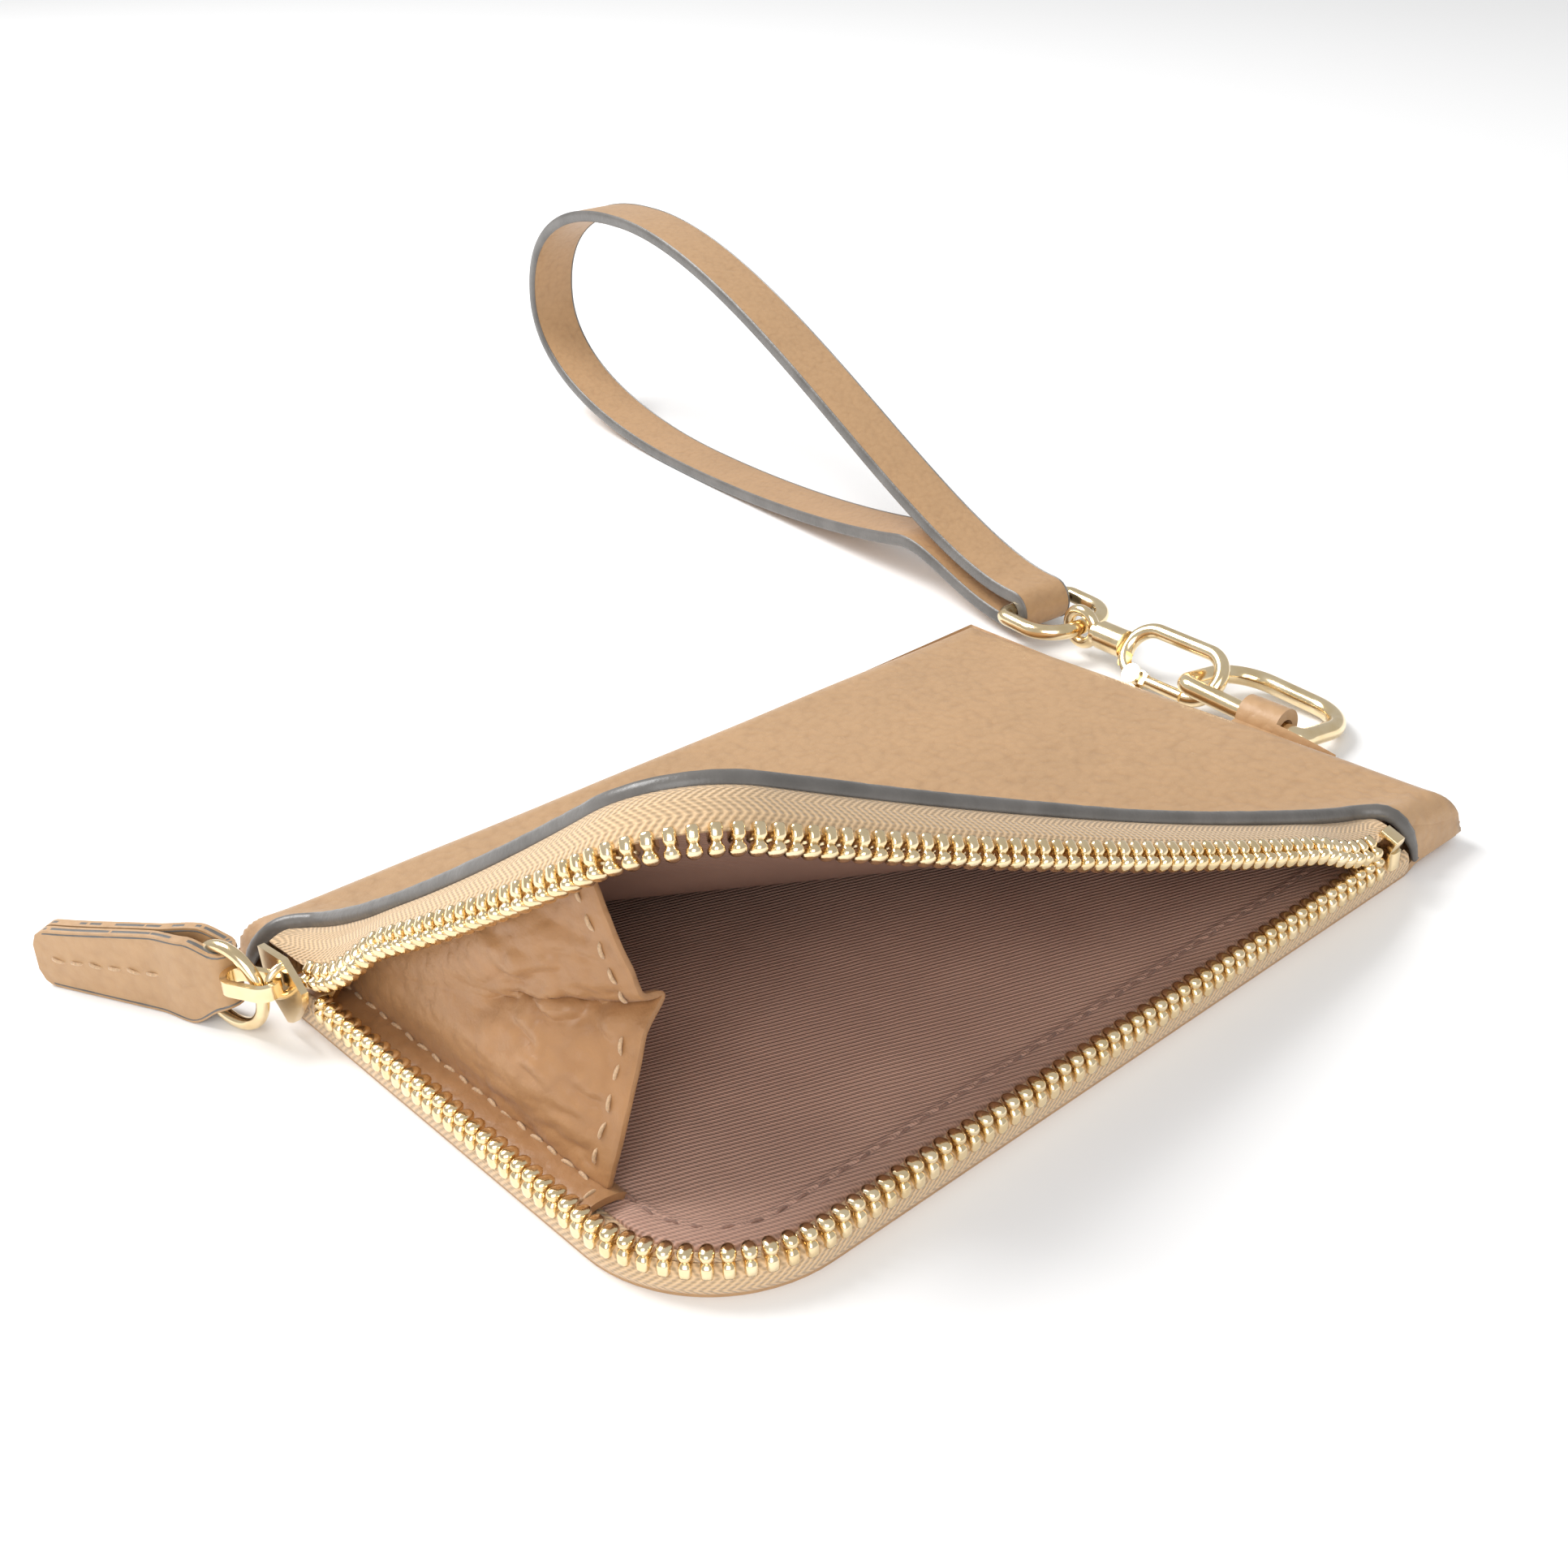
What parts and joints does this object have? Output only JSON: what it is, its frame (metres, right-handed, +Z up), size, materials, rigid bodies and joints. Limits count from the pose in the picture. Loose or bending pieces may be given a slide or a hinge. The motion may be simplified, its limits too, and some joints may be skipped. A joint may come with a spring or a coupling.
{
  "type": "zippered pouch",
  "caption": "Small L-zip leather pouch lying open on its back, with a side gusset, a leather zip pull, and a wrist strap clipped to its edge ring by a swivel snap hook.",
  "frame": {"origin": "on the surface the pouch lies on, under the middle of the whole object's bounding box", "axes": "+Z up out of the front panel, +X along the long zipped side away from the short zipped side, +Y along the short zipped side towards its slider and on along the wrist strap"},
  "size_m": [0.1874, 0.2459, 0.0506],
  "materials": {
    "leather": "pebbled, semi-matt",
    "inner_leather": "smooth, semi-matt",
    "edge_paint": "painted cut edge, satin",
    "lining": "twill",
    "tape": "herringbone woven tape",
    "thread": "sewing thread",
    "teeth": "polished pale gold",
    "hardware": "polished pale gold plate"
  },
  "bodies": {
    "pouch": {"back_panel": "leather", "front_panel": "leather", "side_wrap": "leather", "back_lining": "lining", "front_lining": "lining", "side_facing": "inner_leather", "facing_stitches": "thread", "lining_stitches": "thread", "lower_tape": "tape", "lower_teeth": "teeth", "lower_stop": "teeth", "gusset": "inner_leather", "ring_tab": "leather", "ring_tab_stitches": "thread"},
    "mouth": {"front_flap": "leather", "flap_edge": "edge_paint", "flap_lining": "inner_leather", "upper_tape": "tape", "upper_teeth": "teeth", "upper_stop": "teeth"},
    "slider": {"slider_body": "hardware", "slider_bail": "hardware"},
    "link": {"pull_link": "hardware"},
    "ring": {"pull_ring": "hardware"},
    "tab": {"pull_tab": "leather", "pull_tab_stitches": "thread"},
    "edge_ring": {"key_ring": "hardware"},
    "hook": {"hook_frame": "hardware", "gate_pin": "hardware"},
    "gate": {"hook_gate": "hardware"},
    "swivel": {"swivel_eye": "hardware"},
    "dee": {"d_ring": "hardware"},
    "strap": {"wrist_strap": "leather", "strap_edges": "edge_paint"}
  },
  "joints": [
    {"name": "zip_slide", "type": "slide", "parent": "pouch", "child": "slider", "axis": [0, -1, 0], "range_m": [0, 0.05]},
    {"name": "mouth_swing", "type": "hinge", "parent": "pouch", "child": "mouth", "pos_m": [-0.00713, -0.07735, 0.0082], "axis": [-0.8301, 0.5576, 0], "range_deg": [-37.4, 0], "deforming": ["gusset"]},
    {"name": "link_turn", "type": "hinge", "parent": "slider", "child": "link", "pos_m": [-0.07828, -0.04955, 0.0081], "axis": [0, 0, 1], "range_deg": [-10, 20]},
    {"name": "ring_turn", "type": "hinge", "parent": "link", "child": "ring", "pos_m": [-0.07899, -0.04868, 0.0064], "axis": [0, 0, 1], "range_deg": [-10, 10]},
    {"name": "tab_lift", "type": "hinge", "parent": "ring", "child": "tab", "pos_m": [-0.08033, -0.04355, 0.0064], "axis": [0.9677, 0.2521, 0], "range_deg": [0, 25]},
    {"name": "edge_ring_swing", "type": "hinge", "parent": "pouch", "child": "edge_ring", "pos_m": [0.06297, -0.08375, 0.0047], "axis": [0.0121, 0.9976, 0.0687], "range_deg": [-95, 0]},
    {"name": "hook_swing", "type": "hinge", "parent": "edge_ring", "child": "hook", "pos_m": [0.06724, -0.07293, 0.00472], "axis": [0.9848, 0, -0.1736], "range_deg": [0, 30]},
    {"name": "gate_open", "type": "hinge", "parent": "hook", "child": "gate", "pos_m": [0.06496, -0.06261, 0.00228], "axis": [-0.7304, 0.0383, 0.682], "range_deg": [0, 8], "stiffness_Nm_per_rad": 0.01, "springref_deg": -17.19},
    {"name": "swivel_turn", "type": "hinge", "parent": "hook", "child": "swivel", "pos_m": [0.06823, -0.05237, 0.0052], "axis": [0.0523, 0.9986, 0], "range_deg": [-90, 90]},
    {"name": "dee_swing", "type": "hinge", "parent": "swivel", "child": "dee", "pos_m": [0.06841, -0.04867, 0.0052], "axis": [0.993, -0.1184, 0], "range_deg": [0, 45]},
    {"name": "strap_swing", "type": "hinge", "parent": "dee", "child": "strap", "pos_m": [0.06977, -0.03725, 0.0052], "axis": [0.993, -0.1184, 0], "range_deg": [0, 75]}
  ],
  "couplings": [
    {"joint": "mouth_swing", "follows": "zip_slide", "rad_per_m": -13.045}
  ]
}
